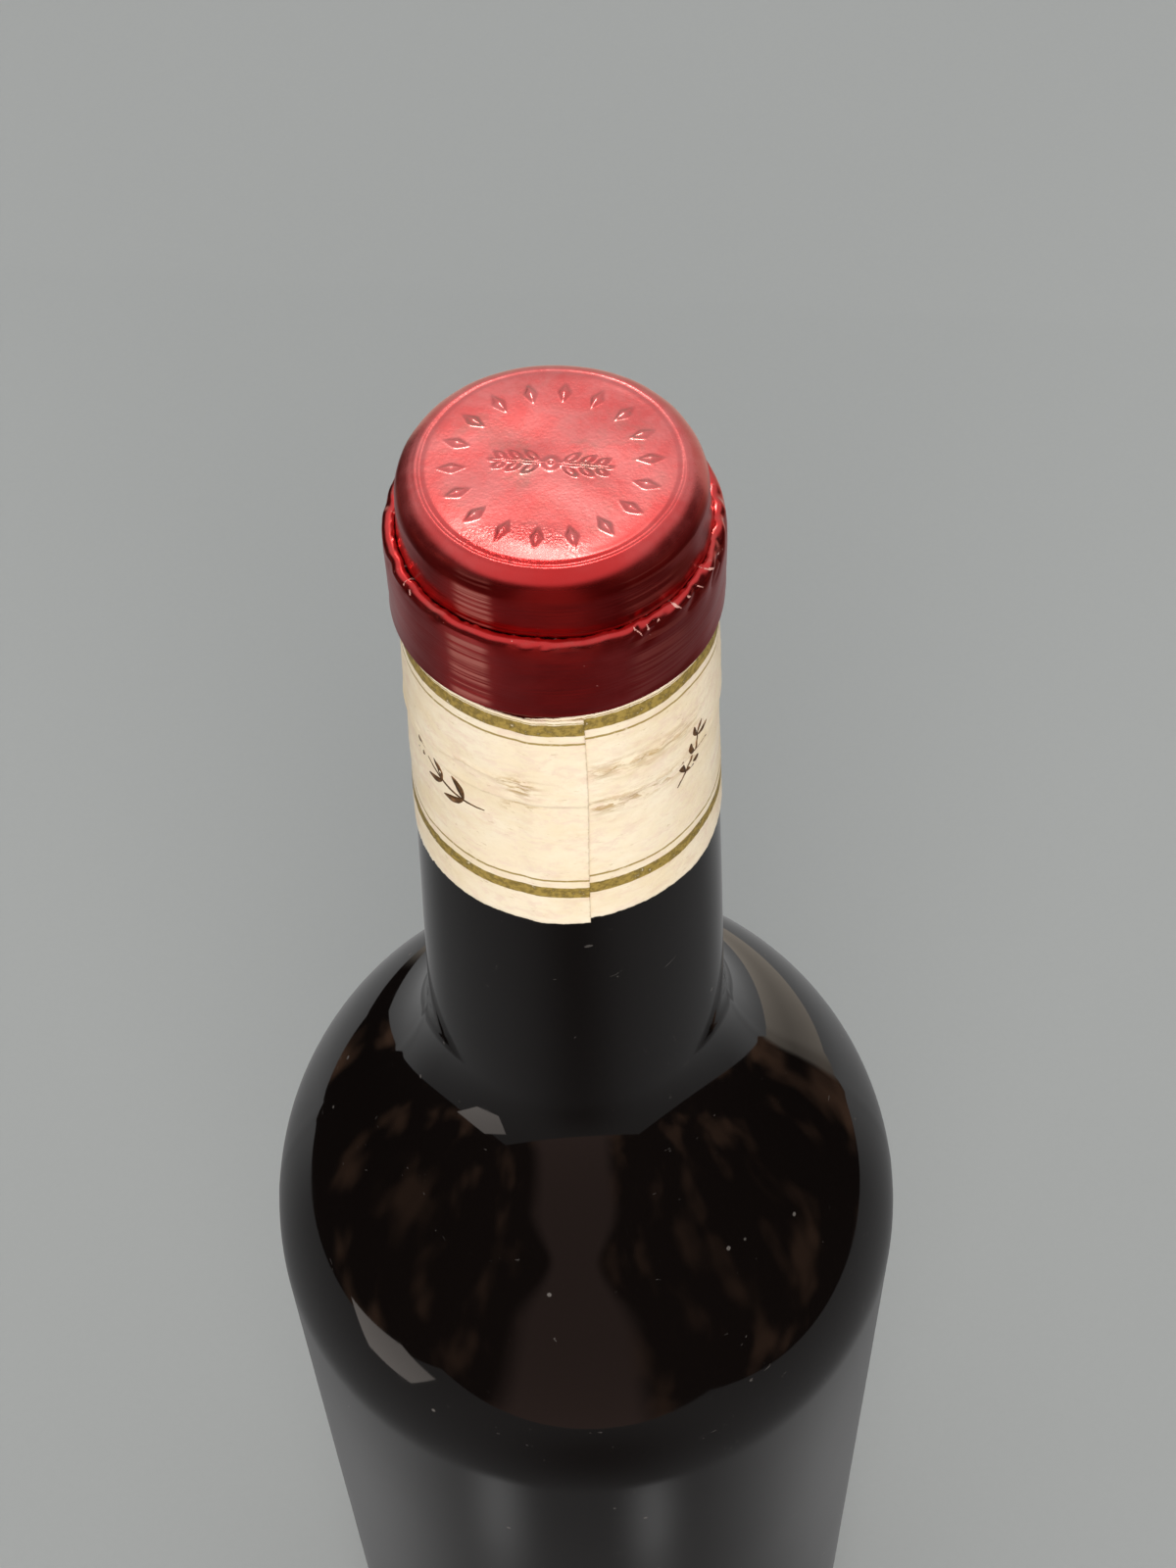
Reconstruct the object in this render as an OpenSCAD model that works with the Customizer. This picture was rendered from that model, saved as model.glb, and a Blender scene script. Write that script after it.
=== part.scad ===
// Sealed wine bottle: dark glass with rounded shoulders, a foil capsule over the
// mouth, and a paper band wrapped round the neck just below the capsule.
// Millimetres. The origin is the centre of the resting ring and +Z is the bottle's axis.

/* [Overall] */
// Height of the sealed bottle, from the resting ring to the top of the capsule's relief
total_h = 296; // [246:1:360]
// Diameter of the straight body
body_d = 78.6; // [65:0.1:95]

/* [Base] */
// Radius of the heel, where the wall turns into the base
heel_r = 5; // [3:0.5:7]
// Width of the flat ring that the bottle rests on
rest_w = 3.5; // [2.5:0.5:5]
// Radius of the edge between the resting ring and the punt
punt_rim_r = 2.5; // [1.5:0.5:4]
// Depth of the punt, the dome pushed up into the base
punt_h = 18; // [12:1:26]

/* [Shoulder and neck] */
// Radius of the convex shoulder
shoulder_r = 47; // [38:1:58]
// Radius of the concave sweep between neck and shoulder
sweep_r = 30; // [22:1:36]
// Diameter of the neck just under the mouth collar
neck_d = 28.2; // [25:0.1:34]
// Growth of the neck radius for each millimetre down the neck
neck_flare = 0.036; // [0.02:0.002:0.05]
// Length of the neck from the collar down to the sweep
neck_l = 66.1; // [54:0.1:85]

/* [Mouth] */
// How far the glass collar stands out from the neck
collar_out = 0.8; // [0.6:0.1:1.5]
// Height of the collar
collar_h = 9; // [7:0.5:12]
// Radius of the collar's edges
collar_edge_r = 0.6; // [0.3:0.1:1]
// How far the lip above the collar is set back from it
lip_back = 1.3; // [0.9:0.1:1.8]
// Height of the lip above the collar
lip_h = 6.3; // [5:0.1:8]
// Lean of the lip's wall towards the axis, in degrees
lip_lean = 6; // [2:1:10]
// Radius of the lip's top edge
lip_edge_r = 3; // [2:0.1:4]

/* [Capsule] */
// Thickness of the foil
foil_t = 0.2; // [0.15:0.05:0.4]
// Length of the foil sleeve that runs down the neck below the collar, under the paper
sleeve_l = 13.3; // [8:0.1:18]
// Radius of the rolled crimp where the top cup meets the skirt
crimp_r = 0.4; // [0.3:0.05:0.6]
// Height that the pressed ring stands above the rounded edge it runs on
ring_h = 0.25; // [0.15:0.05:0.3]
// Distance of the pressed ring outside the flat of the top disc
ring_out = 1.3; // [0.5:0.1:1.8]
// Number of small lozenges pressed up from the top disc
lozenge_count = 18; // [8:1:24]
// Height of a lozenge
lozenge_h = 0.2; // [0.1:0.05:0.3]
// Length of a lozenge, along the radius
lozenge_l = 2.6; // [1.5:0.1:3]
// Width of a lozenge
lozenge_w = 1.3; // [0.8:0.1:1.5]

/* [Neck band] */
// Gap between the collar's foil and the upper edge of the paper
band_gap = 0.8; // [0.4:0.1:2]
// Height of the paper band
band_h = 30.5; // [24:0.1:38]
// Thickness of the paper
paper_t = 0.15; // [0.1:0.05:0.3]
// Width of the lap where one end of the paper covers the other
lap_w = 5; // [3:0.5:10]
// How much lower the covering end hangs than the rest of the paper
lap_drop = 0.4; // [0.2:0.1:1]
// Direction of the lap's free edge, in degrees from +X towards +Y
lap_angle = -83.5; // [-180:0.5:180]

/* [Hidden] */
$fn = 96;

body_r = body_d / 2;
neck_r = neck_d / 2;
over = 1; // how far a cutting shape reaches past what it cuts

// Heights up the axis, from the mouth down
disc_z = total_h - lozenge_h;
lip_top_z = disc_z - foil_t;
lip_z = lip_top_z - lip_h;
collar_z = lip_z - collar_h;
sleeve_z = collar_z - foil_t - sleeve_l;
band_top_z = collar_z - foil_t - band_gap;
band_z = band_top_z - band_h;
sweep_top_z = collar_z - neck_l;

// A foil or paper layer of thickness t on the flared neck adds t * slant to the radius
slant = sqrt(1 + neck_flare * neck_flare);
function neck_radius(z, layer = 0) = neck_r + neck_flare * (collar_z - z) + layer * slant;

// Centres of the neck sweep and of the shoulder, each tangent to what it joins
sweep_c = [neck_radius(sweep_top_z) + sweep_r / slant, sweep_top_z + sweep_r * neck_flare / slant];
shoulder_x = body_r - shoulder_r;
shoulder_reach = shoulder_r + sweep_r;
shoulder_z = sweep_c.y - sqrt(pow(shoulder_reach, 2) - pow(sweep_c.x - shoulder_x, 2));
shoulder_c = [shoulder_x, shoulder_z];
sweep_end = shoulder_c + (sweep_c - shoulder_c) * shoulder_r / shoulder_reach;

// Punt: a dome tangent to the rounded edge inside the resting ring
rest_in_r = body_r - heel_r - rest_w;
rim_c = [rest_in_r, punt_rim_r];
dome_r = (pow(rest_in_r, 2) + pow(punt_h - punt_rim_r, 2) - pow(punt_rim_r, 2)) / (2 * punt_h);
dome_c = [0, punt_h - dome_r];
dome_end = dome_c + (rim_c - dome_c) * dome_r / (dome_r + punt_rim_r);

// Mouth
collar_r = neck_r + collar_out;
lip_r = collar_r - lip_back;
lip_c = [lip_radius(lip_top_z - lip_edge_r) - lip_edge_r / cos(lip_lean), lip_top_z - lip_edge_r];
ring_r = lip_c.x + ring_out;
ring_tube = 0.6; // radius of the pressed ring's rounded back
ring_z = lip_c.y + sqrt(pow(lip_edge_r + foil_t, 2) - pow(ring_out, 2)) + ring_h - ring_tube;
lozenge_gap = 0.5; // from a lozenge's outer tip to the edge of the flat disc
lozenge_r = lip_c.x - lozenge_gap - lozenge_l / 2;

// Neck band
lap_deg = lap_w / neck_r * 180 / PI;
step_l = 0.8; // height over which the paper eases off the end of the foil sleeve

function lip_radius(z, layer = 0) = lip_r - (z - lip_z) * tan(lip_lean) + layer / cos(lip_lean);

// Half outline of the straight body and the heel
module body_outline() {
    translate([0, heel_r]) square([body_r, shoulder_z - heel_r]);
    square([body_r - heel_r, heel_r + over]);
    translate([body_r - heel_r, heel_r]) circle(heel_r);
}

// Half outline of the dome and its rounded edge, to be cut out of the base
module punt_outline() {
    difference() {
        polygon([[0, -over], [rest_in_r, -over], rim_c, dome_end, [0, dome_end.y]]);
        translate(rim_c) circle(punt_rim_r);
    }
    intersection() {
        translate(dome_c) circle(dome_r);
        square([body_r, punt_h + over]);
    }
}

// Half outline of the shoulder, up to where the neck sweep takes over
module shoulder_outline() {
    intersection() {
        translate(shoulder_c) circle(shoulder_r, $fn = 180);
        translate([0, shoulder_z - over]) square([body_r + over, sweep_end.y - shoulder_z + over]);
    }
}

// Half outline of the concave sweep between shoulder and neck
module sweep_outline() {
    neck_end = [neck_radius(sweep_top_z), sweep_top_z];
    difference() {
        polygon([[0, sweep_end.y - over], [sweep_end.x - over, sweep_end.y - over], sweep_end,
                 sweep_c, neck_end, [0, sweep_top_z + over]]);
        translate(sweep_c) circle(sweep_r, $fn = 180);
    }
}

// Half outline of the neck from one height to another, grown by a layer
module neck_outline(low, high, layer = 0) {
    polygon([[0, low], [neck_radius(low, layer), low], [neck_radius(high, layer), high], [0, high]]);
}

// Half outline of the mouth collar, grown by a layer
module collar_outline(layer = 0) {
    edge = collar_edge_r + layer;
    core_r = collar_r - collar_edge_r;
    translate([0, collar_z - layer]) square([core_r, collar_h + 2 * layer]);
    translate([0, collar_z + collar_edge_r]) square([collar_r + layer, collar_h - 2 * collar_edge_r]);
    translate([core_r, collar_z + collar_edge_r]) circle(edge);
    translate([core_r, lip_z - collar_edge_r]) circle(edge);
}

// Half outline of the lip with its leaning wall and rounded edge, grown by a layer
module lip_outline(layer = 0) {
    edge = lip_edge_r + layer;
    wall_end = lip_c + edge * [cos(lip_lean), sin(lip_lean)];
    polygon([[0, lip_z - over], [lip_radius(lip_z - over, layer), lip_z - over], wall_end,
             lip_c, [lip_c.x, lip_top_z + layer], [0, lip_top_z + layer]]);
    translate(lip_c) circle(edge);
}

// Half outline of everything that the foil covers, grown by a layer
module mouth_outline(low, layer = 0) {
    neck_outline(low, collar_z + over, layer);
    collar_outline(layer);
    lip_outline(layer);
}

// Half outline of a layer of paper, with its upper stretch stepped out over the foil sleeve
module paper_outline(inner, outer, low) {
    polygon([[neck_radius(low, inner), low],
             [neck_radius(sleeve_z, inner), sleeve_z],
             [neck_radius(sleeve_z, inner + foil_t), sleeve_z],
             [neck_radius(band_top_z, inner + foil_t), band_top_z],
             [neck_radius(band_top_z, outer + foil_t), band_top_z],
             [neck_radius(sleeve_z, outer + foil_t), sleeve_z],
             [neck_radius(sleeve_z - step_l, outer), sleeve_z - step_l],
             [neck_radius(low, outer), low]]);
}

// Dark glass and its sealed contents as one solid of revolution
module bottle() {
    color([0.06, 0.05, 0.05])
    rotate_extrude() {
        difference() {
            body_outline();
            punt_outline();
        }
        shoulder_outline();
        sweep_outline();
        mouth_outline(sweep_top_z);
    }
}

// Red foil shell: sleeve, skirt over the collar, rolled crimp, and a cup over the lip
module capsule() {
    color([0.48, 0.07, 0.07])
    union() {
        rotate_extrude()
        difference() {
            union() {
                mouth_outline(sleeve_z, foil_t);
                crimp_outline();
                ring_outline();
            }
            mouth_outline(sleeve_z - over);
        }
        lozenges();
    }
}

// Half outline of the rolled crimp on the ledge above the skirt
module crimp_outline() {
    translate([lip_r + foil_t + crimp_r / 2, lip_z + foil_t]) circle(crimp_r);
}

// Half outline of the pressed ring on the rounded edge of the top
module ring_outline() {
    translate([ring_r, ring_z]) circle(ring_tube);
}

// Ring of small lozenges pressed up from the top disc
module lozenges() {
    half_l = lozenge_l / 2;
    half_w = lozenge_w / 2;
    for (i = [0 : lozenge_count - 1])
        rotate([0, 0, i * 360 / lozenge_count])
        translate([lozenge_r, 0, disc_z - foil_t / 2])
        linear_extrude(foil_t / 2 + lozenge_h)
        polygon([[-half_l, 0], [0, -half_w], [half_l, 0], [0, half_w]]);
}

// Paper strip wrapped once round the neck, one end lapped over the other
module neck_band() {
    color([0.96, 0.87, 0.74])
    union() {
        rotate_extrude() paper_outline(0, paper_t, band_z);
        rotate([0, 0, lap_angle - lap_deg])
        rotate_extrude(angle = lap_deg)
        paper_outline(paper_t / 2, 2 * paper_t, band_z - lap_drop);
    }
}

bottle();
capsule();
neck_band();
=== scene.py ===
"""Sealed wine bottle: dark glass, a red foil capsule and a paper band round the neck.

Each visible piece has its own operator, and its sizes and colours are scene properties.
Lengths are metres, +Z is the bottle's axis, and -Y is the side with the paper's lapped edge.
"""

import math
from itertools import product
from types import SimpleNamespace

import bpy
import numpy as np
from bpy.props import FloatProperty, FloatVectorProperty, IntProperty, PointerProperty
from mathutils import Euler, Matrix, Vector


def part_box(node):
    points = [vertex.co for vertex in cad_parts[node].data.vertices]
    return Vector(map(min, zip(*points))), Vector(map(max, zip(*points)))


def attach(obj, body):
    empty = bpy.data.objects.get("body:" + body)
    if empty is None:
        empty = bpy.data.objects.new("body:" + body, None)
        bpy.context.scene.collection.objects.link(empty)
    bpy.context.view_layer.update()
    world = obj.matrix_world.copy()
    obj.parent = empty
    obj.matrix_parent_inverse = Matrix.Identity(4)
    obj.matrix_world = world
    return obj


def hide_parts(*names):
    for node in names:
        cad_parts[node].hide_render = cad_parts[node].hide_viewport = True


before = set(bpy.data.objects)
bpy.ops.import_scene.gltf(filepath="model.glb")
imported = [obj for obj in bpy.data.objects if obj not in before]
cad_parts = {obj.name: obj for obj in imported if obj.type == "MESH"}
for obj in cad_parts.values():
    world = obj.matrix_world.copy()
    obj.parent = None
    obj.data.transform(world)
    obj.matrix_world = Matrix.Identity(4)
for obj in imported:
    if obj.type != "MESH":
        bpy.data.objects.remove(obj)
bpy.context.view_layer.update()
GLASS_LOW, GLASS_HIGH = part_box("bottle")
FOIL_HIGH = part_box("capsule")[1]

bl_info = {
    "name": "Sealed wine bottle",
    "version": (1, 0, 0),
    "blender": (4, 5, 0),
    "location": "3D View > Sidebar > Wine bottle",
    "description": "Builds a sealed wine bottle with a foil capsule and a paper neck band",
    "category": "Add Mesh",
}

MM = 0.001
TURN = 2 * math.pi


# ---------------------------------------------------------------- settings

def length(name, description, default):
    """A length in metres, with room for hundredths of a millimetre."""
    return FloatProperty(name=name, description=description, default=default,
                         subtype="DISTANCE", unit="LENGTH", precision=5)


def colour(name, description, default):
    """A linear colour."""
    return FloatVectorProperty(name=name, description=description, default=default,
                               subtype="COLOR", size=3, min=0, max=1)


class GlassSettings(bpy.types.PropertyGroup):
    """Sizes and colour of the glass."""

    body_d: length("Body diameter", "Across the straight body", GLASS_HIGH.x - GLASS_LOW.x)
    heel_r: length("Heel radius", "Where the wall turns into the base", 5 * MM)
    rest_w: length("Resting ring", "Width of the ring the bottle stands on", 3.5 * MM)
    rim_r: length("Punt edge radius", "Edge between the resting ring and the punt", 2.5 * MM)
    punt_h: length("Punt depth", "Height of the dome in the base", 18 * MM)
    shoulder_r: length("Shoulder radius", "Convex curve of the shoulder", 47 * MM)
    sweep_r: length("Sweep radius", "Concave curve from shoulder to neck", 30 * MM)
    neck_d: length("Neck diameter", "Across the neck just under the collar", 28.2 * MM)
    neck_l: length("Neck length", "From the collar down to the sweep", 66.1 * MM)
    collar_out: length("Collar overhang", "How far the collar stands out", 0.8 * MM)
    collar_h: length("Collar height", "Height of the mouth collar", 9 * MM)
    lip_back: length("Lip setback", "How far the lip is set back", 1.3 * MM)
    lip_h: length("Lip height", "Height of the lip above the collar", 6.3 * MM)
    waviness: length("Waviness", "Depth of the soft waves in the wall", 0.035 * MM)
    seam_h: length("Seam height", "How far the mould seams stand out", 0.03 * MM)
    neck_flare: FloatProperty(name="Neck flare", default=0.036, precision=4,
                              description="Growth of the neck radius for each metre down the neck")
    segments: IntProperty(name="Segments", description="Facets round the glass",
                          default=288, min=48, max=360)
    knurls: IntProperty(name="Knurls", description="Small ridges on the resting ring",
                        default=110, min=24, max=160)
    tint: colour("Glass colour", "Colour of the dark glass and the wine", (0.0035, 0.0024, 0.0021))


class CapsuleSettings(bpy.types.PropertyGroup):
    """Sizes and colours of the foil capsule."""

    foil_t: length("Foil thickness", "Thickness of the foil", 0.2 * MM)
    sleeve_l: length("Sleeve length", "Foil that runs down the neck under the paper", 13.3 * MM)
    edge_r: length("Edge radius", "Rounded edge of the cup", 2.85 * MM)
    ring_r: length("Ring radius", "Radius of the pressed ring on top", 11.5 * MM)
    cup_shift: length("Cup shift", "Sideways lean of the cup over the skirt", -0.15 * MM)
    relief_h: length("Relief height", "Height of the pressed marks", 0.2 * MM)
    lozenge_r: length("Lozenge circle", "Radius of the circle of lozenges", 8.5 * MM)
    lozenge_l: length("Lozenge length", "Length of a lozenge", 2.6 * MM)
    lozenge_w: length("Lozenge width", "Width of a lozenge", 1.3 * MM)
    lozenges: IntProperty(name="Lozenges", description="Lozenges round the top",
                          default=18, min=6, max=30)
    red: colour("Foil red", "Colour of the lacquered foil", (0.66, 0.020, 0.021))
    # The pale bloom is partly dust and partly painted sheen, the pink that the top shows under a
    # bright ceiling
    haze: colour("Haze", "Dusty bloom on the top", (0.72, 0.265, 0.26))
    bare: colour("Bare metal", "Metal where the lacquer is worn off", (0.80, 0.42, 0.36))


class BandSettings(bpy.types.PropertyGroup):
    """Sizes and colours of the paper neck band."""

    gap: length("Gap", "From the skirt down to the paper", 0.7 * MM)
    height: length("Height", "Height of the paper", 30.5 * MM)
    paper_t: length("Paper thickness", "Thickness of the paper", 0.15 * MM)
    lap_w: length("Lap", "Width of the lapped ends", 5 * MM)
    lap_drop: length("Lap drop", "How much lower the covering end hangs", 0.4 * MM)
    lap_turn: FloatProperty(name="Lap direction", description="Direction of the free edge",
                            default=math.radians(-83.5), subtype="ANGLE", unit="ROTATION")
    paper: colour("Paper", "Colour of the cream paper", (0.95, 0.83, 0.64))
    rubbed: colour("Rubbed paper", "Colour of rubbed paper", (0.86, 0.66, 0.52))
    gold: colour("Gold", "Colour of the printed gold", (0.50, 0.345, 0.085))
    ink: colour("Ink", "Colour of the brown ornaments", (0.10, 0.045, 0.013))
    stain: colour("Stain", "Colour of stains and creases", (0.46, 0.28, 0.09))


class StageSettings(bpy.types.PropertyGroup):
    """Floor, camera and lights."""

    floor: colour("Floor", "Colour of the pale floor", (0.47, 0.487, 0.482))
    room: FloatProperty(name="Room light", description="Soft light from all round",
                        default=0.62, min=0)
    lens: FloatProperty(name="Lens", description="Focal length in millimetres",
                        default=56.25, min=10)
    down: FloatProperty(name="Camera pitch", description="How far the camera looks down",
                        default=math.radians(53.49), subtype="ANGLE", unit="ROTATION")
    yaw: FloatProperty(name="Camera yaw", description="How far the camera looks aside",
                       default=math.radians(0.81), subtype="ANGLE", unit="ROTATION")
    roll: FloatProperty(name="Camera roll", description="Tilt of the picture",
                        default=math.radians(-1.99), subtype="ANGLE", unit="ROTATION")
    back: length("Camera distance", "In front of the bottle's axis", 145.5 * MM)
    above: length("Camera height", "Above the lower edge of the skirt", 166.4 * MM)


def settings():
    """The four groups of settings of the current scene."""
    scene = bpy.context.scene
    return scene.bottle_glass, scene.bottle_capsule, scene.bottle_band, scene.bottle_stage


def heights():
    """Heights up the axis, worked out from the mouth down."""
    glass, foil, band, _ = settings()
    at = SimpleNamespace()
    at.disc = FOIL_HIGH.z - foil.relief_h
    at.lip_top = at.disc - foil.foil_t
    at.ledge = at.lip_top - glass.lip_h
    at.collar = at.ledge - glass.collar_h
    at.skirt = at.collar - foil.foil_t
    at.sleeve = at.skirt - foil.sleeve_l
    at.band_top = at.skirt - band.gap
    at.band_low = at.band_top - band.height
    at.sweep_top = at.collar - glass.neck_l
    return at


def neck_radius(z):
    """Outer radius of the bare neck at a height."""
    glass = bpy.context.scene.bottle_glass
    return glass.neck_d / 2 + glass.neck_flare * (heights().collar - z)


# ---------------------------------------------------------------- shapes

def smooth(low, high, x):
    """Smooth step from 0 at low to 1 at high."""
    t = np.clip((np.asarray(x, float) - low) / (high - low), 0, 1)
    return t * t * (3 - 2 * t)


def bump(x, centre, width):
    """Bell of height 1."""
    return np.exp(-((np.asarray(x, float) - centre) / width) ** 2)


def arc(centre, radius, start, end, count):
    """Points of an arc in the half outline, both ends included; angles in degrees."""
    a = np.radians(np.linspace(start, end, count))
    return [(centre[0] + radius * math.cos(t), centre[1] + radius * math.sin(t)) for t in a]


def line(start, end, step):
    """Points from start to end at about the given step, both ends included."""
    count = max(2, int(math.ceil(math.dist(start, end) / step)) + 1)
    return [tuple(p) for p in np.linspace(start, end, count)]


def joined(*runs):
    """Runs of points as one array, without points that repeat."""
    points = []
    for run in runs:
        for p in run:
            if not points or math.dist(points[-1], p) > 1e-7:
                points.append(p)
    return np.array(points)


def turning(turn, seed, low, high, count=9):
    """A smooth random wave round the axis, about -1 to 1, that closes after a full turn."""
    rng = np.random.default_rng(seed)
    total = np.zeros_like(turn)
    for _ in range(count):
        total = total + np.cos(rng.integers(low, high + 1) * turn + rng.uniform(0, TURN))
    return total / math.sqrt(count)


def mottled(turn, z, seed, low, high, pitch, count=24):
    """A smooth random field round and along the axis, with the given pitch along it."""
    rng = np.random.default_rng(seed)
    total = np.zeros_like(turn + z)
    for _ in range(count):
        phase = rng.uniform(0, TURN)
        rise = rng.normal(0, 1) * TURN / pitch
        total = total + np.cos(rng.integers(low, high + 1) * turn + rise * z + phase)
    return total / math.sqrt(count)


def new_object(name, data):
    """An object at the origin, linked to the scene."""
    thing = bpy.data.objects.new(name, data)
    bpy.context.scene.collection.objects.link(thing)
    return thing


def mesh_object(name, points, faces, material):
    """A smooth mesh object at the origin."""
    mesh = bpy.data.meshes.new(name)
    mesh.from_pydata([tuple(p) for p in points], [], faces)
    mesh.polygons.foreach_set("use_smooth", [True] * len(mesh.polygons))
    mesh.materials.append(material)
    mesh.update()
    return new_object(name, mesh)


def ring_faces(rows, around, closed_rows=False):
    """Quads between rows of points that each go once round the axis."""
    faces = []
    last = rows if closed_rows else rows - 1
    for i in range(last):
        a = i * around
        b = ((i + 1) % rows) * around
        for j in range(around):
            k = (j + 1) % around
            faces.append((a + j, a + k, b + k, b + j))
    return faces


def bearing(turn):
    """Direction in degrees, from -180 to 180."""
    return np.degrees((turn + math.pi) % TURN - math.pi)


def polar(r, turn, z, shift=0.0):
    """Points at a radius, direction and height, moved sideways along X."""
    return np.stack([r * np.cos(turn) + shift, r * np.sin(turn), z], -1).reshape(-1, 3)


def lathe_grid(outer, inner, around, first=0.0):
    """A closed half outline taken round the axis.

    Gives each point's radius, height and direction, and 1 for the rows of the outer face."""
    rows = np.vstack([outer, inner])
    turn = np.arange(around) * TURN / around + first
    r = np.repeat(rows[:, :1], around, axis=1)
    z = np.repeat(rows[:, 1:], around, axis=1)
    outside = (np.arange(len(rows)) < len(outer))[:, None].astype(float)
    return r, z, np.broadcast_to(turn, r.shape), outside


def write_attributes(thing, **attributes):
    """A number for each point, for the piece's material to read."""
    for name, values in attributes.items():
        attribute = thing.data.attributes.new(name, "FLOAT", "POINT")
        attribute.data.foreach_set("value", np.asarray(values, np.float32).ravel())


def signed_volume(mesh):
    """Volume enclosed by a mesh, negative if it is inside out."""
    mesh.calc_loop_triangles()
    co = np.empty(len(mesh.vertices) * 3)
    mesh.vertices.foreach_get("co", co)
    tri = np.empty(len(mesh.loop_triangles) * 3, int)
    mesh.loop_triangles.foreach_get("vertices", tri)
    a, b, c = co.reshape(-1, 3)[tri.reshape(-1, 3)].transpose(1, 0, 2)
    return float(np.einsum("ij,ij->i", a, np.cross(b, c)).sum() / 6)


def finish_piece(thing, slot, *nodes):
    """Checks that a piece is closed the right way out, and hands it to the frame."""
    if signed_volume(thing.data) <= 0:
        thing.data.flip_normals()
    if signed_volume(thing.data) <= 0:
        raise RuntimeError(f"{thing.name} encloses nothing")
    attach(thing, "root")
    if nodes:
        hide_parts(*nodes)


# ---------------------------------------------------------------- node trees

class Nodes:
    """Adds nodes to a tree and wires them, so that a material reads from top to bottom."""

    def __init__(self, tree):
        self.tree = tree

    def add(self, kind, inputs=None, **values):
        node = self.tree.nodes.new(kind)
        for key, value in values.items():
            setattr(node, key, value)
        self.set(node, inputs or {})
        return node

    def set(self, node, inputs):
        """Links a node's inputs to sockets, or sets their values; a colour gets its alpha."""
        for key, value in inputs.items():
            socket = node.inputs[key]
            if isinstance(value, bpy.types.NodeSocket):
                self.tree.links.new(value, socket)
            elif socket.type == "RGBA":
                socket.default_value = (*value[:3], 1.0)
            else:
                socket.default_value = value

    def math(self, operation, *values, clamp=False):
        """Takes values together from left to right; only the last step is clamped."""
        total = values[0]
        for value in values[1:] or (0.0,):
            node = self.add("ShaderNodeMath", {0: total, 1: value}, operation=operation)
            total = node.outputs[0]
        node.use_clamp = clamp
        return total

    def plus(self, *values, clamp=False):
        return self.math("ADD", *values, clamp=clamp)

    def minus(self, a, b, clamp=False):
        return self.math("SUBTRACT", a, b, clamp=clamp)

    def times(self, *values, clamp=False):
        return self.math("MULTIPLY", *values, clamp=clamp)

    def most(self, *values):
        return self.math("MAXIMUM", *values)

    def step(self, value, low, high, out_low=0.0, out_high=1.0):
        """Smooth step of a value between two limits."""
        inputs = {"Value": value, "From Min": low, "From Max": high,
                  "To Min": out_low, "To Max": out_high}
        return self.add("ShaderNodeMapRange", inputs, interpolation_type="SMOOTHSTEP").outputs[0]

    def window(self, value, low, high, soft):
        """1 between two limits and 0 outside, with soft ends."""
        rising = self.step(value, low - soft, low + soft)
        return self.times(rising, self.step(value, high - soft, high + soft, 1.0, 0.0))

    def mix(self, factor, a, b):
        """Colour a where the factor is 0 and b where it is 1."""
        node = self.add("ShaderNodeMix", data_type="RGBA", clamp_factor=True)
        self.set(node, {0: factor, 6: a, 7: b})
        return node.outputs[2]

    def noise(self, where, scale, detail=3.0, roughness=0.55, distortion=0.0):
        """Noise with one scale, or with a scale for each axis."""
        if isinstance(scale, tuple):
            stretched = self.add("ShaderNodeVectorMath", {0: where, 1: scale}, operation="MULTIPLY")
            where, scale = stretched.outputs[0], 1.0
        inputs = {"Vector": where, "Scale": scale, "Detail": detail,
                  "Roughness": roughness, "Distortion": distortion}
        return self.add("ShaderNodeTexNoise", inputs).outputs[0]

    def place(self):
        """Where a point is on the object."""
        return self.add("ShaderNodeTexCoord").outputs["Object"]

    def axes(self, vector):
        """The three parts of a vector."""
        return self.add("ShaderNodeSeparateXYZ", {0: vector}).outputs

    def attribute(self, name):
        return self.add("ShaderNodeAttribute", attribute_name=name).outputs["Fac"]

    def raised(self, *layers):
        """Bump from layers of height, distance and strength, each over the one before."""
        normal = None
        for height, distance, strength in layers:
            inputs = {"Height": height, "Distance": distance, "Strength": strength}
            if normal is not None:
                inputs["Normal"] = normal
            normal = self.add("ShaderNodeBump", inputs).outputs[0]
        return normal


def shade(rgb, factor):
    """A colour times one factor, or times one for each channel."""
    return tuple(np.array(rgb) * factor)


def new_material(name):
    """A material, its nodes and its shader."""
    material = bpy.data.materials.new(name)
    material.use_nodes = True
    shader = material.node_tree.nodes["Principled BSDF"]
    return material, Nodes(material.node_tree), shader


def glass_material(glass):
    """Near-black glass, with faint smudges, dust and hairline scratches."""
    material, n, shader = new_material("glass_and_wine")
    place = n.place()
    smudge = n.step(n.noise(place, 42.0, 4.0, 0.6, 0.4), 0.52, 0.74)
    streak = n.step(n.noise(place, (360, 360, 84)), 0.58, 0.75)
    cells = n.add("ShaderNodeTexVoronoi", {"Vector": place, "Scale": 300.0}).outputs
    chosen = n.math("GREATER_THAN", n.math("FRACT", n.times(cells["Color"], 7.31)), 0.90)
    speck = n.times(n.window(cells["Distance"], 0.01, 0.075, 0.02), chosen)
    lint = n.step(n.noise(place, (420, 420, 900), 2.0, 0.5, 1.5), 0.735, 0.78)
    dust = n.most(n.times(speck, 0.55), n.times(lint, 0.3))
    ripple = n.noise(place, 55.0, 1.0)
    scratch = n.noise(place, (900, 900, 40), 2.0)
    n.set(shader, {
        "Base Color": n.mix(dust, glass.tint, (0.20, 0.18, 0.165)),
        "Roughness": n.plus(n.times(smudge, 0.05), n.times(streak, 0.03), n.times(dust, 0.5),
                            0.035, clamp=True),
        "Normal": n.raised((ripple, 0.00012, 0.35), (scratch, 0.000004, 0.25)),
        "IOR": 1.52,
    })
    return material


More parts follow.
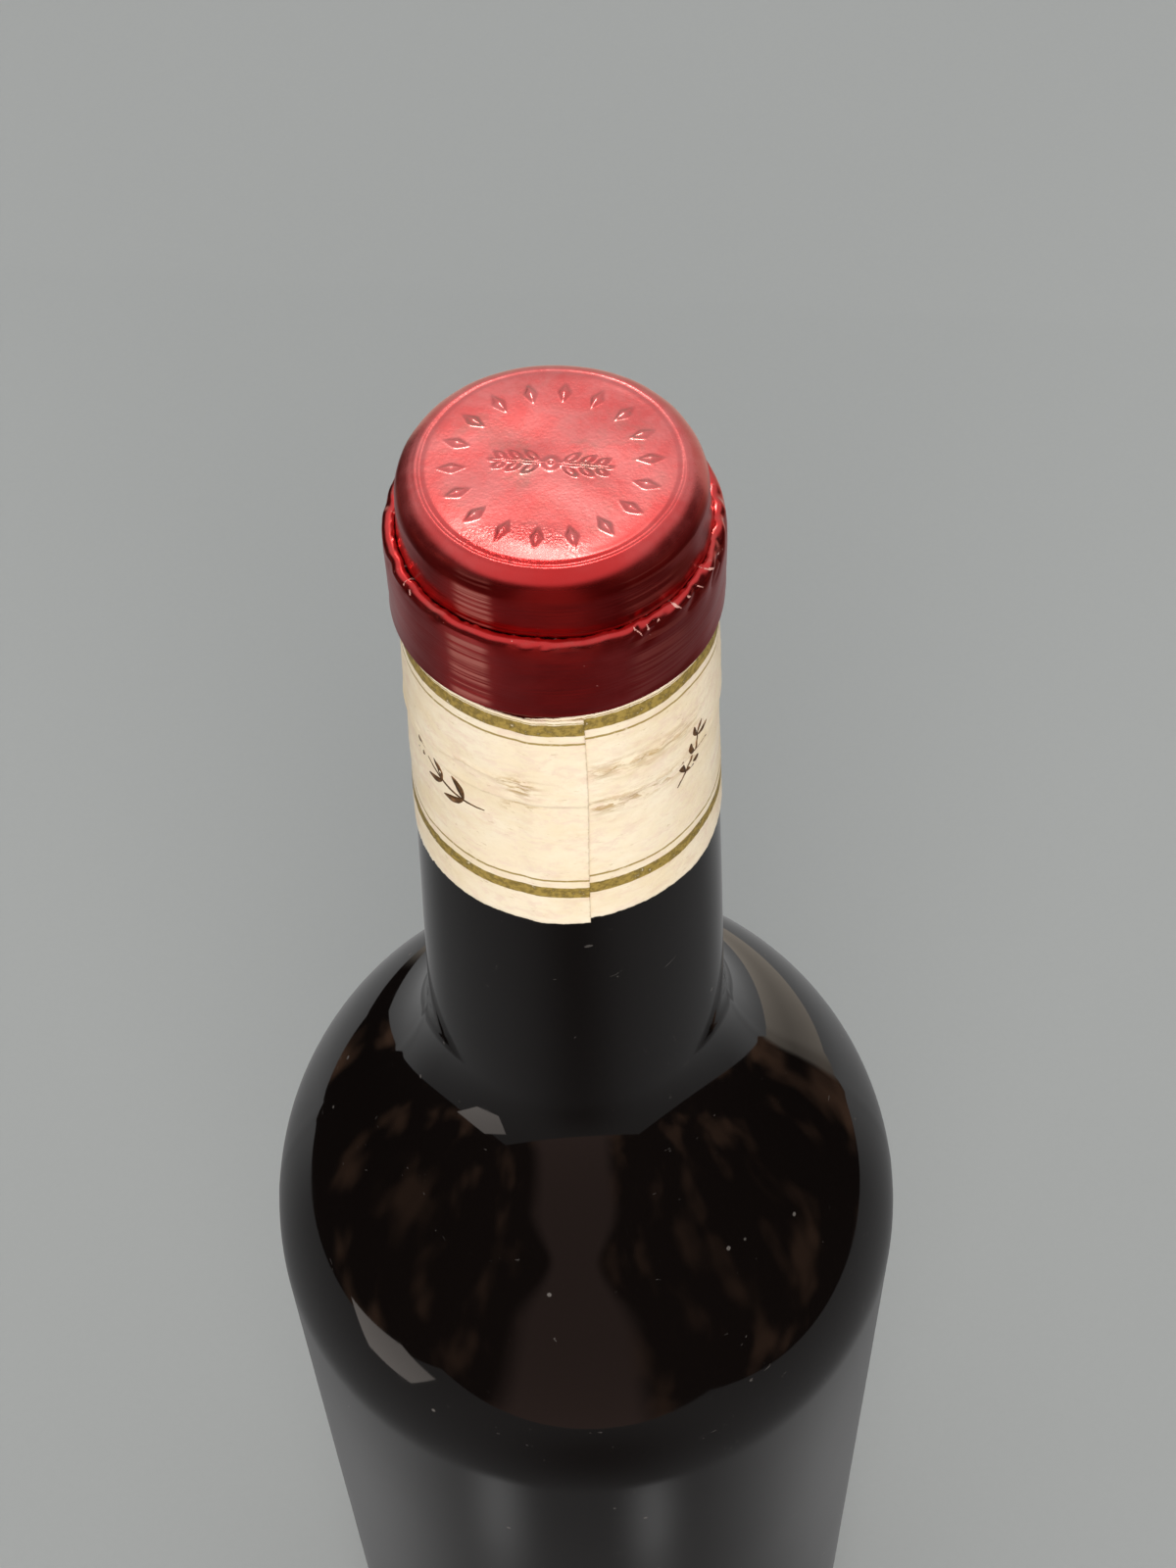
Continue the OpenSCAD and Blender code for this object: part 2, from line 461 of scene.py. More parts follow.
def foil_material(foil):
    """Lacquered red foil: drawn lines round it, pitting, a dusty bloom on top that is partly painted
    sheen, a painted reflection on the walls, bare worn edges.
    """
    made = bpy.data.materials.get("foil_lacquer")
    if made:
        return made
    material, n, shader = new_material("foil_lacquer")
    place = n.place()
    facing = n.axes(n.add("ShaderNodeNewGeometry").outputs["Normal"])
    wall = n.step(facing[2], 0.25, 0.75, 1.0, 0.0)

    # Fine lines drawn round the skirt and the cup's wall, and a painted reflection: pale streaks
    # along the lines in patches of the walls
    drawn = n.noise(place, (30, 30, 4200), 2.0, 0.6)
    broad = n.noise(place, (30, 30, 2500), 2.0)
    lines = n.times(n.plus(drawn, broad), wall, 0.5)
    streak = n.times(n.step(broad, 0.40, 0.62), n.attribute("brushed"), wall)

    # Fine hammered pitting on the top
    pitted = n.attribute("pitted")
    cells = n.add("ShaderNodeTexVoronoi", {"Vector": place, "Scale": 3300.0}, feature="SMOOTH_F1")
    pits = n.times(n.plus(cells.outputs["Distance"], n.noise(place, 5200.0, 2.0, 0.6)), pitted)

    # Bare metal where the lacquer is rubbed off, grime, and a pale bloom that is partly dust and
    # partly painted sheen
    scuff = n.noise(place, (1900, 1900, 3000), 4.0, 0.7)
    fleck = n.step(n.noise(place, 1700.0, 3.0, 0.6), 0.745, 0.775)
    bare = n.most(n.step(n.plus(n.attribute("wear"), scuff), 0.80, 0.92), n.times(fleck, 0.7))
    cloud = n.noise(place, 240.0, 5.0, 0.7, 0.2)
    haze = n.times(n.attribute("haze"), n.step(cloud, 0.30, 0.70, 0.30, 0.60),
                   n.minus(1.0, n.times(pitted, 0.5)))
    grime = n.times(n.step(n.noise(place, 320.0, 5.0, 0.7, 0.3), 0.47, 0.66), n.attribute("grime"))

    tone = n.mix(n.noise(place, (70, 70, 260)), foil.red, shade(foil.red, 0.6))
    # Over the red: dust with painted sheen, grime, the painted reflection's pale streaks, and bare
    # metal
    for cover, over in ((haze, foil.haze), (n.times(grime, 0.75), (0.27, 0.15, 0.125)),
                        (n.times(streak, 0.8), (0.80, 0.27, 0.22)), (bare, foil.bare)):
        tone = n.mix(cover, tone, over)
    matte = n.most(haze, n.times(streak, 0.35), bare)
    n.set(shader, {
        "Base Color": tone,
        "Metallic": n.minus(1.0, n.times(matte, 0.8), clamp=True),
        "Roughness": n.plus(0.225, n.times(wall, 0.11), n.times(streak, 0.2), n.times(haze, 0.03),
                            clamp=True),
        "Normal": n.raised((lines, 0.00006, 0.6), (pits, 0.00006, 0.8), (scuff, 0.00002, 0.25)),
        "Coat Weight": 0.25,
        "Coat Roughness": 0.2,
    })
    return material


def paper_material(band):
    """Cream paper with printed gold bands and lines, fibres, rubbed creases and stains."""
    material, n, shader = new_material("paper_printed")
    place = n.place()
    fibre = n.noise(place, (700, 700, 1300), 5.0, 0.65, 0.5)
    cloud = n.step(n.noise(place, 150.0, 5.0, 0.65), 0.3, 0.7)
    patch = n.step(n.noise(place, (420, 420, 800), 5.0, 0.7, 0.4), 0.46, 0.64)
    aged = n.step(n.noise(place, (120, 120, 260), 5.0, 0.7, 0.3), 0.44, 0.68)
    fleck = n.step(n.noise(place, (900, 900, 2600), 3.0, 0.6), 0.64, 0.72)
    rub_grain = n.step(n.noise(place, (420, 420, 2200), 4.0, 0.7), 0.44, 0.58)
    rub = n.times(n.attribute("rubbed"), rub_grain, clamp=True)

    # Printed bands and rules, between two distances below the paper's upper edge
    unsteady = n.times(n.minus(n.noise(place, 900.0), 0.5), 0.12 * MM)
    level = n.plus(n.attribute("down"), unsteady)

    def printed_line(start, stop):
        return n.window(level, start * MM, stop * MM, 0.05 * MM)

    mottle = n.noise(place, 1500.0, 3.0, 0.7)
    bands = n.times(n.plus(printed_line(0.52, 2.08), printed_line(24.75, 26.30)),
                    n.step(mottle, 0.24, 0.38), clamp=True)
    rules = n.plus(printed_line(3.05, 3.32), printed_line(23.50, 23.77), printed_line(0.30, 0.42))
    rules = n.times(rules, n.step(mottle, 0.30, 0.46, 0.45, 0.95))
    gold = n.mix(n.step(mottle, 0.35, 0.62), shade(band.gold, 0.5), band.gold)

    tone = n.mix(cloud, band.paper, shade(band.paper, (0.97, 0.93, 0.86)))
    for cover, strength, over in (
            (patch, 0.6, band.rubbed), (aged, 0.32, (0.80, 0.62, 0.36)),
            (fleck, 0.30, band.stain), (rub, 0.8, band.stain),
            (bands, 1.0, gold), (rules, 1.0, shade(band.gold, 0.72)),
            (n.attribute("torn"), 0.8, (0.93, 0.84, 0.70))):
        tone = n.mix(n.times(cover, strength), tone, over)
    n.set(shader, {
        "Base Color": tone,
        "Metallic": n.times(bands, 0.25),
        "Roughness": n.minus(0.82, n.times(bands, 0.34)),
        "Normal": n.raised((fibre, 0.0001, 0.75), (rub, 0.00006, 0.6), (bands, 0.00001, 0.6)),
        "Specular IOR Level": 0.3,
    })
    return material


def ink_material(band):
    """Brown printing ink, thinner and lighter in places."""
    material, n, shader = new_material("brown_ink")
    place = n.place()
    thin = n.step(n.noise(place, 1300.0, 3.0, 0.6), 0.45, 0.72)
    light = tuple(min(1.0, c * 3.0 + 0.02) for c in band.ink)
    n.set(shader, {
        "Base Color": n.mix(thin, band.ink, light),
        "Roughness": n.step(thin, 0.0, 1.0, 0.45, 0.65),
        "Normal": n.raised((n.noise(place, 2500.0, 2.0), 0.00001, 0.5)),
    })
    return material


def floor_material(stage):
    """Pale matte tabletop with a faint grain."""
    material, n, shader = new_material("floor_pale")
    place = n.place()
    grain = n.noise(place, 900.0, 2.0)
    blend = n.plus(n.times(n.noise(place, 3.0), 0.6), n.times(grain, 0.4))
    n.set(shader, {
        "Base Color": n.mix(blend, shade(stage.floor, 0.93), stage.floor),
        "Roughness": 0.75,
        "Normal": n.raised((grain, 0.0001, 0.2)),
        "Specular IOR Level": 0.2,
    })
    return material


# ---------------------------------------------------------------- glass

def glass_outline():
    """Half outline of the glass from the punt's centre to the middle of the mouth."""
    glass, foil, _, _ = settings()
    at = heights()
    body_r = glass.body_d / 2
    rest_z = 0.12 * MM  # the bottle stands on ridges that reach below the ring's flat

    rest_in = body_r - glass.heel_r - glass.rest_w
    over_rim = glass.punt_h - glass.rim_r
    dome_r = (rest_in ** 2 + over_rim ** 2 - glass.rim_r ** 2) / (2 * glass.punt_h)
    dome_z = glass.punt_h - dome_r
    dome_end = math.degrees(math.atan2(glass.rim_r - dome_z, rest_in))
    punt = arc((0, dome_z), dome_r, 90, dome_end, 30)
    punt[0] = (0, glass.punt_h)
    rim = arc((rest_in, glass.rim_r), glass.rim_r, 180 + dome_end, 262, 8)
    rest = line((rest_in, rest_z), (body_r - glass.heel_r, rest_z), 1.2 * MM)
    heel = arc((body_r - glass.heel_r, glass.heel_r), glass.heel_r, 282, 360, 14)

    slant = math.hypot(1, glass.neck_flare)
    sweep = (neck_radius(at.sweep_top) + glass.sweep_r / slant,
             at.sweep_top + glass.sweep_r * glass.neck_flare / slant)
    shoulder_x = body_r - glass.shoulder_r
    reach = glass.shoulder_r + glass.sweep_r
    shoulder = (shoulder_x, sweep[1] - math.sqrt(reach ** 2 - (sweep[0] - shoulder_x) ** 2))
    meet = math.degrees(math.atan2(sweep[1] - shoulder[1], sweep[0] - shoulder[0]))
    top = 180 + math.degrees(math.atan(glass.neck_flare))

    body = line((body_r, glass.heel_r), (body_r, shoulder[1]), 2.6 * MM)
    curve = arc(shoulder, glass.shoulder_r, 0, meet, 52)
    hollow = arc(sweep, glass.sweep_r, 180 + meet, top, 34)
    neck = line(hollow[-1], (neck_radius(at.collar), at.collar), 1.8 * MM)
    collar_r = glass.neck_d / 2 + glass.collar_out
    lip_r = collar_r - glass.lip_back
    hidden = 0.35 * MM  # how far the glass keeps inside the foil that covers it
    mouth = [(collar_r - hidden, at.collar + hidden), (collar_r - hidden, at.ledge - 4 * hidden),
             (lip_r - hidden, at.ledge - hidden), (lip_r - 1.0 * MM, at.lip_top - foil.edge_r),
             (lip_r - 3.6 * MM, at.lip_top - 2 * hidden), (0, at.lip_top - 2 * hidden)]
    return joined(punt, rim, rest, heel, body, curve, hollow, neck, mouth)


def geometry_tree(name, inputs):
    """A geometry tree with a geometry input, named inputs with defaults, and its output."""
    kinds = {int: "NodeSocketInt", float: "NodeSocketFloat", type(None): "NodeSocketMaterial"}
    tree = bpy.data.node_groups.new(name, "GeometryNodeTree")
    tree.interface.new_socket(name="Geometry", in_out="INPUT", socket_type="NodeSocketGeometry")
    for key, value in inputs.items():
        socket = tree.interface.new_socket(name=key, in_out="INPUT", socket_type=kinds[type(value)])
        if value is not None:
            socket.default_value = value
    tree.interface.new_socket(name="Geometry", in_out="OUTPUT", socket_type="NodeSocketGeometry")
    n = Nodes(tree)
    return tree, n, n.add("NodeGroupInput").outputs, n.add("NodeGroupOutput")


def finish_tree(n, shape, material, end):
    """Realized, shaded smooth and given its material."""
    shape = n.add("GeometryNodeRealizeInstances", {"Geometry": shape}).outputs[0]
    shape = n.add("GeometryNodeSetShadeSmooth", {"Geometry": shape}).outputs[0]
    made = n.add("GeometryNodeSetMaterial", {"Geometry": shape, "Material": material})
    n.set(end, {0: made.outputs[0]})


def lathe_tree():
    """Turns a half outline round the axis, with soft waves and two mould seams."""
    tree, n, given, end = geometry_tree("lathe_glass", {
        "Segments": 288, "Waviness": 0.0, "Wave Pitch": 0.02, "Wave Low": 0.0, "Wave High": 1.0,
        "Wave Fade": 0.008, "Seam Height": 0.0, "Seam Width": 0.001, "Material": None})
    outline = given["Geometry"]

    # A flat grid, with a row for each point of the outline and a column for each direction
    size = n.add("GeometryNodeAttributeDomainSize", {"Geometry": outline})
    rows = size.outputs["Point Count"]
    grid = n.add("GeometryNodeMeshGrid", {
        "Size X": 1.0, "Size Y": 1.0, "Vertices Y": rows,
        "Vertices X": n.plus(given["Segments"], 1.0)})
    place = n.add("GeometryNodeInputPosition").outputs[0]
    flat = n.axes(place)
    row = n.math("ROUND", n.times(n.plus(flat[1], 0.5), n.minus(rows, 1.0)))
    outline_point = n.add("GeometryNodeSampleIndex", {"Geometry": outline, "Index": row},
                          data_type="FLOAT_VECTOR")
    n.set(outline_point, {"Value": place})
    turned = n.add("ShaderNodeVectorRotate", {
        "Vector": outline_point.outputs[0], "Angle": n.times(n.plus(flat[0], 0.5), TURN)},
        rotation_type="Z_AXIS")
    shape = n.add("GeometryNodeSetPosition", {
        "Geometry": grid.outputs["Mesh"], "Position": turned.outputs[0]}).outputs[0]
    shape = n.add("GeometryNodeMergeByDistance", {"Geometry": shape, "Distance": 1e-6}).outputs[0]

    # Waves and seams along the wall, faded out at both ends
    low, high, fade = given["Wave Low"], given["Wave High"], given["Wave Fade"]
    _, y, z = n.axes(place)
    inside = n.times(n.step(z, low, n.plus(low, fade)),
                     n.step(z, n.minus(high, fade), high, 1.0, 0.0))
    wave = n.minus(n.noise(place, n.math("DIVIDE", 1.0, given["Wave Pitch"]), 1.0), 0.5)
    seam = n.step(n.math("ABSOLUTE", y), 0.0, given["Seam Width"], 1.0, 0.0)
    push = n.times(n.plus(n.times(wave, given["Waviness"], 2.0),
                          n.times(seam, given["Seam Height"])), inside)
    normal = n.add("GeometryNodeInputNormal").outputs[0]
    offset = n.add("ShaderNodeVectorMath", {0: normal, "Scale": push}, operation="SCALE")
    shape = n.add("GeometryNodeSetPosition", {"Geometry": shape, "Offset": offset.outputs[0]})
    finish_tree(n, shape.outputs[0], given["Material"], end)
    return tree


def knurl_tree():
    """Small rounded ridges side by side round the resting ring."""
    tree, n, given, end = geometry_tree("knurl_ring", {
        "Count": 110, "Radius": 0.03, "Length": 0.002, "Width": 0.0008, "Height": 0.0003,
        "Material": None})
    ring = n.add("GeometryNodeMeshCircle", {
        "Vertices": given["Count"], "Radius": given["Radius"]})
    ridge = n.add("GeometryNodeMeshIcoSphere", {"Radius": 1.0, "Subdivisions": 2})
    x, y, _ = n.axes(n.add("GeometryNodeInputPosition").outputs[0])
    spin = n.add("ShaderNodeCombineXYZ", {"Z": n.math("ARCTAN2", y, x)})
    size = n.add("ShaderNodeCombineXYZ", {
        "X": given["Length"], "Y": given["Width"], "Z": given["Height"]})
    many = n.add("GeometryNodeInstanceOnPoints", {
        "Points": ring.outputs["Mesh"], "Instance": ridge.outputs["Mesh"],
        "Rotation": spin.outputs[0], "Scale": size.outputs[0]})
    lift = n.add("ShaderNodeCombineXYZ", {"Z": given["Height"]})
    loose = n.add("GeometryNodeRealizeInstances", {"Geometry": many.outputs[0]})
    lifted = n.add("GeometryNodeSetPosition", {
        "Geometry": loose.outputs[0], "Offset": lift.outputs[0]})
    finish_tree(n, lifted.outputs[0], given["Material"], end)
    return tree


def grow(name, points, tree, values):
    """Runs a geometry tree on a few points and keeps the result as a plain mesh object."""
    seed_mesh = bpy.data.meshes.new(name + "_seed")
    seed_mesh.from_pydata([tuple(p) for p in points], [], [])
    seed = new_object(name + "_seed", seed_mesh)
    modifier = seed.modifiers.new("grow", "NODES")
    modifier.node_group = tree
    for item in tree.interface.items_tree:
        if item.item_type == "SOCKET" and item.in_out == "INPUT" and item.name in values:
            modifier[item.identifier] = values[item.name]
    graph = bpy.context.evaluated_depsgraph_get()
    mesh = bpy.data.meshes.new_from_object(seed.evaluated_get(graph), depsgraph=graph)
    bpy.data.objects.remove(seed)
    if not mesh.polygons:
        raise RuntimeError(f"{name} came out empty")
    mesh.name = name
    return new_object(name, mesh)


class BOTTLE_OT_glass(bpy.types.Operator):
    """Dark glass, turned from its half outline, with its resting ring's ridges"""

    bl_idname = "wine_bottle.glass"
    bl_label = "Glass"

    def execute(self, context):
        glass, _, _, _ = settings()
        at = heights()
        material = glass_material(glass)
        outline = [(r, 0, z) for r, z in glass_outline()]
        body = grow("glass_bottle", outline, lathe_tree(), {
            "Segments": glass.segments,
            "Waviness": glass.waviness,
            "Wave Pitch": 19 * MM,
            "Wave Low": 4 * MM,
            "Wave High": at.band_low - 2 * MM,
            "Wave Fade": 8 * MM,
            "Seam Height": glass.seam_h,
            "Seam Width": 1.1 * MM,
            "Material": material,
        })
        finish_piece(body, "dark_glass", "bottle")

        knurl_r = glass.body_d / 2 - glass.heel_r - glass.rest_w / 2
        pitch = TURN * knurl_r / glass.knurls
        knurls = grow("resting_ring_knurls", [(0, 0, 0)], knurl_tree(), {
            "Count": glass.knurls,
            "Radius": knurl_r,
            "Length": glass.rest_w * 0.46,
            "Width": pitch * 0.38,
            "Height": 0.2 * MM,
            "Material": material,
        })
        finish_piece(knurls, "dark_glass")
        return {"FINISHED"}


# ---------------------------------------------------------------- capsule

def leaf(x, y, place, turn, long, wide):
    """Height from 0 to 1 of a rounded leaf or berry shape on the flat disc."""
    c, s = math.cos(turn), math.sin(turn)
    along = ((x - place[0]) * c + (y - place[1]) * s) / (long / 2)
    across = (-(x - place[0]) * s + (y - place[1]) * c) / (wide / 2)
    return smooth(0, 0.55, 1 - np.hypot(along, across * (1 + 0.55 * along ** 2)))


def disc_relief(x, y):
    """Pressed marks on the top: a circle of lozenges round a small sprig with berries."""
    foil = bpy.context.scene.bottle_capsule
    r = np.hypot(x, y)
    turn = np.arctan2(y, x)
    pitch = TURN / foil.lozenges
    local = (turn + pitch / 2) % pitch - pitch / 2
    radial = np.abs(r - foil.lozenge_r) / (foil.lozenge_l / 2)
    side = np.abs(local) * r / (foil.lozenge_w / 2)
    height = smooth(0, 0.5, 1 - radial - side)
    height = height + 0.45 * smooth(0, 0.3, 0.42 - radial - side)

    # The sprig lies across the middle, a little turned
    tilt = math.radians(-9)
    u = x * math.cos(tilt) + y * math.sin(tilt)
    v = -x * math.sin(tilt) + y * math.cos(tilt)
    stem = bump(v, 0, 0.16 * MM) * smooth(5.4 * MM, 5.0 * MM, np.abs(u)) * 0.7
    height = np.maximum(height, stem)
    for (along, size), way, up in product(((1.7, 1.0), (3.1, 0.9), (4.4, 0.75)), (-1, 1), (-1, 1)):
        place = (way * along * MM, up * 0.78 * size * MM)
        lean = math.radians(42) * up * way
        height = np.maximum(height, leaf(u, v, place, lean, 1.9 * size * MM, 0.85 * MM))
    return np.maximum(height, leaf(u, v, (0, 0), 0, 1.9 * MM, 1.9 * MM))


def cup_outline(at):
    """Half outline of the cup: top disc, rounded edge, leaning wall, tucked end, and its inside."""
    glass, foil, _, _ = settings()
    lip_r = glass.neck_d / 2 + glass.collar_out - glass.lip_back + foil.foil_t
    lean = math.radians(3.2)
    edge_z = at.disc - foil.edge_r
    wall_r = lip_r - (edge_z - at.ledge) * math.tan(lean)
    edge_x = wall_r - foil.edge_r / math.cos(lean)
    disc = line((0, at.disc), (edge_x, at.disc), 0.19 * MM)
    edge = arc((edge_x, edge_z), foil.edge_r, 90, math.degrees(lean), 26)
    low = at.ledge + 0.55 * MM
    wall = line(edge[-1], (lip_r - (low - at.ledge) * math.tan(lean), low), 0.22 * MM)
    flare = [(lip_r + 0.02 * MM, low - 0.25 * MM), (lip_r + 0.12 * MM, at.ledge + 0.1 * MM)]
    outer = joined(disc, edge, wall, flare)

    # The inside follows the outside at the foil's thickness, a little closer under the top
    under_top = foil.foil_t * 0.95
    inner = [(lip_r - 0.1 * MM, at.ledge + 0.08 * MM)]
    inner += line((lip_r - foil.foil_t, low), (wall_r - foil.foil_t, edge_z), 2 * MM)
    inner += arc((edge_x, edge_z), foil.edge_r - under_top, 20, 90, 5)
    inner += line((edge_x, at.disc - under_top), (0, at.disc - under_top), 3 * MM)
    return outer, joined(inner)


# Folds pressed into the foil at the ledge: direction in degrees, height above the skirt's lower
# edge, depth, half width in degrees, and half height; lengths in millimetres
FOLDS = ((-101, 9.4, 0.255, 3.9, 0.7), (-95, 9.2, 0.195, 2.25, 0.5), (-62, 9.3, 0.2625, 1.95, 1.0),
         (-57, 8.7, 0.21, 3.15, 1.4), (-50, 9.5, 0.225, 2.55, 0.7), (-37, 8.9, 0.285, 3.45, 1.2),
         (-30, 9.3, 0.315, 2.85, 0.9), (-21, 8.5, 0.345, 4.05, 1.5), (-13, 9.2, 0.345, 3.45, 1.0),
         (-4, 8.7, 0.3, 3.6, 1.4), (7, 9.3, 0.255, 3, 0.8), (31, 9.1, 0.21, 3.6, 0.9),
         (78, 9.2, 0.225, 3.3, 0.8), (126, 9.0, 0.195, 4.2, 1.0), (171, 9.3, 0.255, 2.85, 0.8),
         (-163, 8.9, 0.225, 3, 1.1), (-149, 9.3, 0.21, 2.1, 0.7), (-133, 9.2, 0.165, 2.4, 0.6))
FOLD_LEAN = 50.0  # how far a fold turns round the axis for each metre up, in radians


def pinched(turn, above):
    """How far the folds press the foil in at a direction and a height, and their raised sides."""
    total = np.zeros(np.broadcast(turn, above).shape)
    ridge = np.zeros_like(total)
    for direction, z, depth, wide, tall in FOLDS:
        wide, rise = math.radians(wide), (above - z * MM) / (tall * MM)
        off = (turn - math.radians(direction) + math.pi) % TURN - math.pi
        off = off - (above - z * MM) * FOLD_LEAN
        total += depth * MM * np.exp(-(off / wide) ** 2 - rise ** 2)
        ridge += np.exp(-((np.abs(off) - wide * 1.35) / (wide * 0.5)) ** 2 - (rise / 1.2) ** 2)
    return total, np.clip(ridge, 0, 1)


def scratches(turn, above):
    """Thin lines rubbed through the lacquer by the ledge, each from one point to another."""
    degrees = bearing(turn)
    mm_per_degree = 0.2635  # round the skirt
    total = np.zeros(np.broadcast(turn, above).shape)
    for (d0, z0), (d1, z1) in (((-64.5, 9.2), (-61, 7.9)), ((-60, 9.1), (-59.2, 7.8)),
                               ((-55, 9.0), (-58, 8.4)), ((-48, 9.3), (-44.5, 8.3)),
                               ((-42, 9.1), (-39, 8.6)), ((-29, 9.3), (-24, 8.5)),
                               ((-20, 8.6), (-15, 8.2)), ((-36, 9.2), (-33, 8.1)),
                               ((-149, 9.1), (-144, 8.6)), ((-152, 9.3), (-151, 8.6))):
        across, along = (degrees - d0) * mm_per_degree, above / MM - z0
        run, rise = (d1 - d0) * mm_per_degree, z1 - z0
        share = np.clip((across * run + along * rise) / (run ** 2 + rise ** 2), 0, 1)
        away = np.hypot(across - share * run, along - share * rise)
        total = np.maximum(total, smooth(0.15, 0.04, away))
    return total


def brushed_patch(turn):
    """Painted reflection of a tall light on the walls: a patch of pale streaks at the left, and a
    weak one at the right.
    """
    degrees = bearing(turn)
    left = smooth(-131, -126.5, degrees) * smooth(-112.5, -116.5, degrees)
    return left + 0.35 * smooth(-70, -62, degrees) * smooth(-38, -48, degrees)


class BOTTLE_OT_cup(bpy.types.Operator):
    """Top cup of the capsule: pressed disc, rounded edge and wall down into the crimp"""

    bl_idname = "wine_bottle.cup"
    bl_label = "Capsule cup"

    def execute(self, context):
        _, foil, _, _ = settings()
        at = heights()
        outer, inner = cup_outline(at)
        r, z, t, outside = lathe_grid(outer[1:], inner[:-1], 480, -math.pi)
        rows, around = r.shape

        # Pressed marks and ring on a slightly domed top
        x, y = r * np.cos(t), r * np.sin(t)
        on_disc = smooth(11.0 * MM, 10.2 * MM, r) * outside
        relief = disc_relief(x, y) * on_disc
        deep = 0.72 + 0.35 * np.cos(t - math.radians(-118)) + 0.16 * turning(t, 11, 2, 7)
        groove = bump(r, foil.ring_r - 0.28 * MM, 0.2 * MM) * deep
        bead = bump(r, foil.ring_r + 0.08 * MM, 0.2 * MM) * deep
        bead_h, groove_h = 0.09 * MM, 0.13 * MM
        on_top = smooth(at.disc - 3.2 * MM, at.disc - 1.2 * MM, z) * outside
        dome = (0.06 * (r / (12 * MM)) ** 2 - 0.08 * smooth(10.8 * MM, 12.2 * MM, r)) * MM
        sag = mottled(t, r, 5, 0, 6, 14 * MM) * 0.03 * MM * smooth(0.5 * MM, 3 * MM, r)

        # The rim of the top is pushed down at the front left
        fall = smooth(8.6 * MM, 11.6 * MM, r) * np.exp(-((t + math.radians(105)) / 0.6) ** 2)
        fall_h = 0.23 * MM
        fall = fall * fall_h * smooth(13.2 * MM, 11.9 * MM, r)
        rise = relief * foil.relief_h * 0.8 - dome * on_top + sag * on_disc - fall
        rise = rise + (bead * bead_h - groove * groove_h) * on_top

        # Uneven wall, pinched in at its foot
        over_ledge = z - at.ledge
        press, ridge = pinched(t, z - at.skirt)
        near_ledge = smooth(3.0 * MM, 0.2 * MM, over_ledge) * outside
        wobble = (turning(t, 3, 2, 6) * 0.04 + turning(t, 4, 9, 23) * 0.012) * MM
        ripple = mottled(t, z, 6, 3, 16, 4 * MM) * 0.014 * MM * smooth(0, 1.5 * MM, over_ledge)
        ripple = ripple * smooth(at.disc - 2 * MM, at.disc - 3 * MM, z)
        r = r + (wobble + ripple) * outside * smooth(5 * MM, 12 * MM, r) - press * 0.4 * near_ledge
        z = z + rise
        shift = foil.cup_shift * smooth(at.ledge, at.ledge + 3 * MM, z)
        poles = [[foil.cup_shift, 0, outer[0][1]], [foil.cup_shift, 0, inner[-1][1]]]
        points = np.vstack([polar(r, t, z, shift), poles])
        faces = ring_faces(rows, around)
        top, end = rows * around, (rows - 1) * around
        for j in range(around):
            k = (j + 1) % around
            faces.append((top, k, j))
            faces.append((top + 1, end + j, end + k))

        # Where the foil is worn, dirty and pitted, where dust and painted sheen lie, and where the
        # walls carry a painted reflection
        thing = mesh_object("capsule_cup", points, faces, foil_material(foil))
        wear = 0.03 * smooth(0.2, 0.9, relief) + 0.08 * bead * on_top + 0.12 * ridge * near_ledge
        wear = wear + 0.06 * smooth(0.9 * MM, 0.2 * MM, over_ledge) * outside
        middle = np.exp(-(np.hypot(x / 7.5, y / 4) / MM) ** 2)
        marks = smooth(0.05, 0.3, relief) * smooth(0.95, 0.5, relief)
        grime = np.clip(0.8 * middle + 0.3 * bump(r, foil.lozenge_r, 2 * MM) + marks, 0, 1)
        front = bump((t + math.pi * 1.5) % TURN, math.pi, 1.15)
        # Dust and painted sheen lie over the top and its edge, and are taken off at the front,
        # towards the edge
        haze = smooth(at.disc - 2.6 * MM, at.disc - 0.2 * MM, z) * outside
        haze = 0.05 + 0.95 * haze * (1 - 0.95 * front * smooth(8.6 * MM, 10.9 * MM, r))
        left_front = np.hypot((x / MM + 4.0) / 6.6, (y / MM + 9.6) / 3.0)
        pitted = smooth(1.15, 0.5, left_front) * smooth(12.0 * MM, 11.2 * MM, np.hypot(x, y))
        pitted = np.clip(pitted + 0.12 * smooth(0.3, 0.8, haze) * (1 - pitted), 0, 1)
        layers = {"wear": wear, "grime": grime * outside, "haze": haze,
                  "pitted": pitted * outside, "brushed": brushed_patch(t)}
        write_attributes(thing, **{
            key: np.append(values, [values[0].mean(), 0]) for key, values in layers.items()})
        finish_piece(thing, "red_foil", "capsule")
        return {"FINISHED"}


